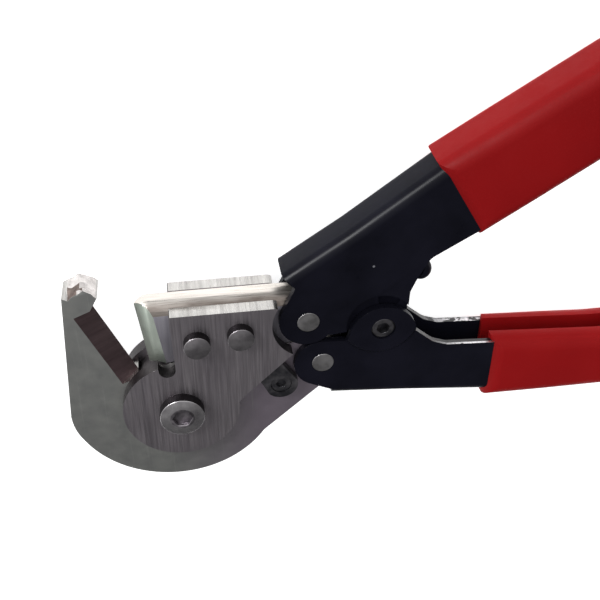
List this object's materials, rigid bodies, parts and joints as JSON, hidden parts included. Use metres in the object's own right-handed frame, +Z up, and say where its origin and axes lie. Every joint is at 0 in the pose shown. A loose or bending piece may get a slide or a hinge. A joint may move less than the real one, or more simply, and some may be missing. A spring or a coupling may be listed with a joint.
{
  "type": "tile nippers",
  "caption": "Compound-action tile nippers: fixed hook jaw, riveted blade jaw on a main pivot, and two channel handles with dipped vinyl grips linked by rivets and a cross bolt.",
  "frame": {"origin": "on the main pivot's axis, at the flat face of the pivot nut, which is the tool's lowest face as it lies on its back", "axes": "+X from the jaws towards the handles, +Y to the side that the upper handle opens to, +Z up along the pivots' axes"},
  "size_m": [0.2549, 0.1581, 0.022],
  "materials": {
    "jaw_steel": "ground",
    "plate_steel": "brushed",
    "link_rivet_steel": "satin",
    "black_steel": "blackened",
    "handle_paint": "gloss",
    "grip_vinyl": "satin"
  },
  "bodies": {
    "lower_jaw": {"hook_jaw": "jaw_steel", "front_stop": "black_steel", "rear_stop": "black_steel", "stop_screw": "black_steel"},
    "upper_jaw": {"blade": "jaw_steel", "front_side_plate": "plate_steel", "rear_side_plate": "plate_steel", "tip_rivet": "plate_steel", "tail_rivet": "plate_steel", "pivot_screw": "plate_steel", "pivot_bush": "jaw_steel", "pivot_nut": "plate_steel"},
    "lower_handle": {"lower_handle": "handle_paint", "lower_grip": "grip_vinyl", "lower_link_rivet": "link_rivet_steel", "handle_bolt": "black_steel", "handle_nut": "black_steel"},
    "upper_handle": {"upper_handle": "handle_paint", "upper_grip": "grip_vinyl", "upper_link_rivet": "link_rivet_steel", "handle_bush": "link_rivet_steel", "bumper_block": "handle_paint", "bumper_screw": "black_steel", "bumper_nut": "black_steel"}
  },
  "joints": [
    {"name": "jaw_pivot", "type": "hinge", "parent": "lower_jaw", "child": "upper_jaw", "pos_m": [0, 0, 0.0105], "axis": [0, 0, 1], "range_deg": [0, 16.5]},
    {"name": "lower_handle_pivot", "type": "hinge", "parent": "lower_jaw", "child": "lower_handle", "pos_m": [0.0387, 0.0104, 0.0105], "axis": [0, 0, 1], "range_deg": [0, 34.5]},
    {"name": "handle_closing", "type": "hinge", "parent": "lower_handle", "child": "upper_handle", "pos_m": [0.0546, 0.0209, 0.0105], "axis": [0, 0, -1], "range_deg": [0, 38]}
  ],
  "couplings": [
    {"joint": "jaw_pivot", "follows": "handle_closing", "ratio": 0.4274},
    {"joint": "lower_handle_pivot", "follows": "handle_closing", "ratio": 0.8951}
  ]
}
